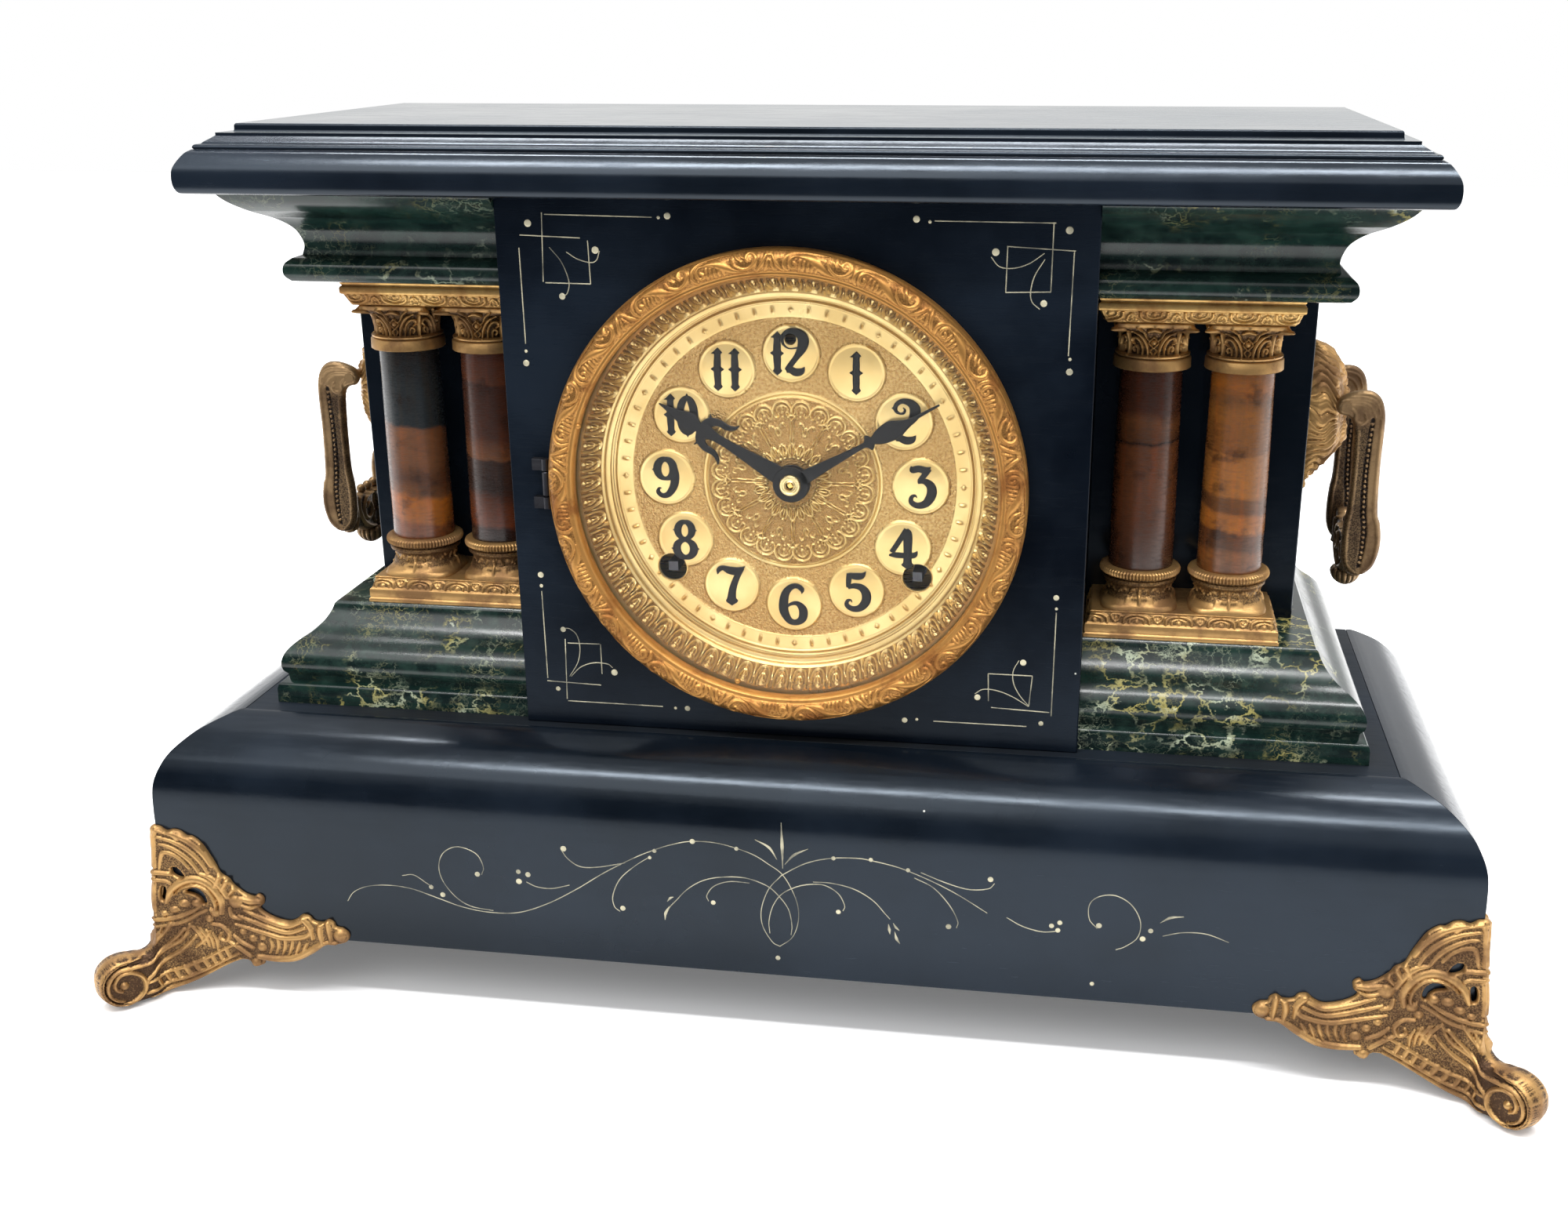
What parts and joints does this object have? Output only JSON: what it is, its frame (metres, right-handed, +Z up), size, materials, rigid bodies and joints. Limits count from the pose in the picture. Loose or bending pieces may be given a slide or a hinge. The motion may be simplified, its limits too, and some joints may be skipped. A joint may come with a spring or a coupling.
{
  "type": "mantel clock",
  "caption": "Black enamelled mantel clock with green moulded pedestals and frieze, paired columns, gilt feet and mask handles, hinged bezel, striking movement and pendulum.",
  "frame": {"origin": "middle of the footprint, on the ground plane under the feet", "axes": "+X to the viewer's right, front faces -Y, +Z up"},
  "size_m": [0.468, 0.2022, 0.2855],
  "materials": {
    "base_front": "black enamel, polished",
    "base_left": "black enamel, polished",
    "base_right": "black enamel, polished",
    "base_back": "black enamel, polished",
    "base_deck": "black enamel, polished",
    "pedestal_left": "green marbled enamel, polished",
    "pedestal_right": "green marbled enamel, polished",
    "frieze_left": "green marbled enamel, polished",
    "frieze_right": "green marbled enamel, polished",
    "wing_left": "black enamel, polished",
    "wing_right": "black enamel, polished",
    "side_left": "black enamel, polished",
    "side_right": "black enamel, polished",
    "top_board": "black enamel, polished",
    "front_panel": "black enamel, polished",
    "cheeks": "black enamel, polished",
    "back_board": "black stain, matt",
    "back_door": "brushed",
    "door_latch": "brushed",
    "hardware": "brushed",
    "foot_front_left": "gilt",
    "foot_front_right": "gilt",
    "foot_back_left": "gilt",
    "foot_back_right": "gilt",
    "plinth_plates": "gilt",
    "cap_plates": "gilt",
    "column_shafts": "banded brown marbled veneer, polished",
    "capitals": "gilt",
    "column_bases": "gilt",
    "masks": "gilt",
    "handle_left": "gilt",
    "handle_right": "gilt",
    "bezel": "gilt, coppery",
    "glass": "clear",
    "dial": "gilt, stamped",
    "dial_centre": "gilt, stamped",
    "hour_hand": "black",
    "minute_hand": "black",
    "hand_nut": "gilt, stamped",
    "plate_front": "brushed",
    "plate_back": "brushed",
    "pillars": "brushed",
    "mainsprings": "brushed",
    "great_time": "brushed",
    "second_time": "brushed",
    "centre_arbor": "brushed",
    "third_time": "brushed",
    "escape_wheel": "brushed",
    "wind_time": "brushed",
    "great_strike": "brushed",
    "second_strike": "brushed",
    "cam_strike": "brushed",
    "fly": "brushed",
    "wind_strike": "brushed",
    "minute_wheel": "brushed",
    "hour_wheel": "brushed",
    "verge": "brushed",
    "pendulum": "brushed",
    "gong": "blued",
    "hammer": "brushed"
  },
  "bodies": {
    "case": {"base_front": "base_front", "base_left": "base_left", "base_right": "base_right", "base_back": "base_back", "base_deck": "base_deck", "pedestal_left": "pedestal_left", "pedestal_right": "pedestal_right", "frieze_left": "frieze_left", "frieze_right": "frieze_right", "wing_left": "wing_left", "wing_right": "wing_right", "side_left": "side_left", "side_right": "side_right", "top_board": "top_board", "front_panel": "front_panel", "cheeks": "cheeks", "back_board": "back_board", "hardware": "hardware", "foot_front_left": "foot_front_left", "foot_front_right": "foot_front_right", "foot_back_left": "foot_back_left", "foot_back_right": "foot_back_right", "plinth_plates": "plinth_plates", "cap_plates": "cap_plates", "column_shafts": "column_shafts", "capitals": "capitals", "column_bases": "column_bases", "masks": "masks", "dial": "dial", "dial_centre": "dial_centre", "plate_front": "plate_front", "plate_back": "plate_back", "pillars": "pillars", "mainsprings": "mainsprings", "gong": "gong"},
    "bezel": {"bezel": "bezel", "glass": "glass"},
    "minute": {"centre_arbor": "centre_arbor", "minute_hand": "minute_hand", "hand_nut": "hand_nut"},
    "hour": {"hour_hand": "hour_hand", "hour_wheel": "hour_wheel"},
    "minute_wheel": {"minute_wheel": "minute_wheel"},
    "second_time": {"second_time": "second_time"},
    "great_time": {"great_time": "great_time"},
    "third_time": {"third_time": "third_time"},
    "escape_wheel": {"escape_wheel": "escape_wheel"},
    "wind_time": {"wind_time": "wind_time"},
    "wind_strike": {"wind_strike": "wind_strike"},
    "great_strike": {"great_strike": "great_strike"},
    "second_strike": {"second_strike": "second_strike"},
    "cam_strike": {"cam_strike": "cam_strike"},
    "fly": {"fly": "fly"},
    "verge": {"verge": "verge"},
    "pendulum": {"pendulum": "pendulum"},
    "hammer": {"hammer": "hammer"},
    "handle_left": {"handle_left": "handle_left"},
    "handle_right": {"handle_right": "handle_right"},
    "back_door": {"back_door": "back_door"},
    "door_latch": {"door_latch": "door_latch"}
  },
  "joints": [
    {"name": "minute_spin", "type": "hinge", "parent": "case", "child": "minute", "pos_m": [-0.0022, 0, 0.1774], "axis": [0, 1, 0], "continuous": true},
    {"name": "hour_spin", "type": "hinge", "parent": "case", "child": "hour", "pos_m": [-0.0022, 0, 0.1774], "axis": [0, 1, 0], "continuous": true},
    {"name": "minute_wheel_spin", "type": "hinge", "parent": "case", "child": "minute_wheel", "pos_m": [0.00628, 0, 0.16892], "axis": [0, 1, 0], "continuous": true},
    {"name": "second_time_spin", "type": "hinge", "parent": "case", "child": "second_time", "pos_m": [0.02574, 0, 0.17924], "axis": [0, 1, 0], "continuous": true},
    {"name": "great_time_spin", "type": "hinge", "parent": "case", "child": "great_time", "pos_m": [0.0375, 0, 0.1476], "axis": [0, 1, 0], "continuous": true},
    {"name": "third_time_spin", "type": "hinge", "parent": "case", "child": "third_time", "pos_m": [0.00675, 0, 0.202], "axis": [0, 1, 0], "continuous": true},
    {"name": "escape_spin", "type": "hinge", "parent": "case", "child": "escape_wheel", "pos_m": [-0.0022, 0, 0.22053], "axis": [0, 1, 0], "continuous": true},
    {"name": "wind_time_spin", "type": "hinge", "parent": "case", "child": "wind_time", "pos_m": [0.0375, 0, 0.1476], "axis": [0, 1, 0], "continuous": true},
    {"name": "wind_strike_spin", "type": "hinge", "parent": "case", "child": "wind_strike", "pos_m": [-0.0419, 0, 0.1476], "axis": [0, 1, 0], "continuous": true},
    {"name": "cam_strike_spin", "type": "hinge", "parent": "case", "child": "cam_strike", "pos_m": [-0.02901, 0, 0.20713], "axis": [0, 1, 0], "continuous": true},
    {"name": "second_strike_spin", "type": "hinge", "parent": "case", "child": "second_strike", "pos_m": [-0.03374, 0, 0.18035], "axis": [0, 1, 0], "continuous": true},
    {"name": "great_strike_spin", "type": "hinge", "parent": "case", "child": "great_strike", "pos_m": [-0.0419, 0, 0.1476], "axis": [0, 1, 0], "continuous": true},
    {"name": "fly_spin", "type": "hinge", "parent": "case", "child": "fly", "pos_m": [-0.04345, 0, 0.21547], "axis": [0, 1, 0], "continuous": true},
    {"name": "pendulum_swing", "type": "hinge", "parent": "case", "child": "pendulum", "pos_m": [-0.0022, 0, 0.235], "axis": [0, 1, 0], "range_deg": [-3.5, 3.5]},
    {"name": "verge_swing", "type": "hinge", "parent": "case", "child": "verge", "pos_m": [-0.0022, 0, 0.235], "axis": [0, 1, 0], "range_deg": [-3.5, 3.5]},
    {"name": "hammer_lift", "type": "hinge", "parent": "case", "child": "hammer", "pos_m": [-0.0282, 0, 0.1169], "axis": [0, -1, 0], "range_deg": [0, 22]},
    {"name": "bezel_hinge", "type": "hinge", "parent": "case", "child": "bezel", "pos_m": [-0.0783, -0.05375, 0.1774], "axis": [0, 0, -1], "range_deg": [0, 110]},
    {"name": "door_hinge", "type": "hinge", "parent": "case", "child": "back_door", "pos_m": [0.0631, 0.0757, 0.1774], "axis": [0, 0, -1], "range_deg": [0, 110]},
    {"name": "latch_turn", "type": "hinge", "parent": "case", "child": "door_latch", "pos_m": [-0.0712, 0.0765, 0.1774], "axis": [0, 1, 0], "range_deg": [0, 90]},
    {"name": "handle_left_swing", "type": "hinge", "parent": "case", "child": "handle_left", "pos_m": [-0.1715, 0.036, 0.195], "axis": [0, 1, 0], "range_deg": [0, 80]},
    {"name": "handle_right_swing", "type": "hinge", "parent": "case", "child": "handle_right", "pos_m": [0.1715, 0.036, 0.195], "axis": [0, -1, 0], "range_deg": [0, 80]}
  ],
  "couplings": [
    {"joint": "hour_spin", "follows": "minute_spin", "ratio": 0.083333},
    {"joint": "minute_wheel_spin", "follows": "minute_spin", "ratio": -0.33333},
    {"joint": "second_time_spin", "follows": "minute_spin", "ratio": -0.16667},
    {"joint": "great_time_spin", "follows": "minute_spin", "ratio": 0.020833},
    {"joint": "third_time_spin", "follows": "minute_spin", "ratio": -11},
    {"joint": "escape_spin", "follows": "minute_spin", "ratio": 132},
    {"joint": "second_strike_spin", "follows": "cam_strike_spin", "ratio": -0.13333},
    {"joint": "great_strike_spin", "follows": "cam_strike_spin", "ratio": 0.016667},
    {"joint": "fly_spin", "follows": "cam_strike_spin", "ratio": -9},
    {"joint": "verge_swing", "follows": "pendulum_swing", "ratio": 1}
  ]
}
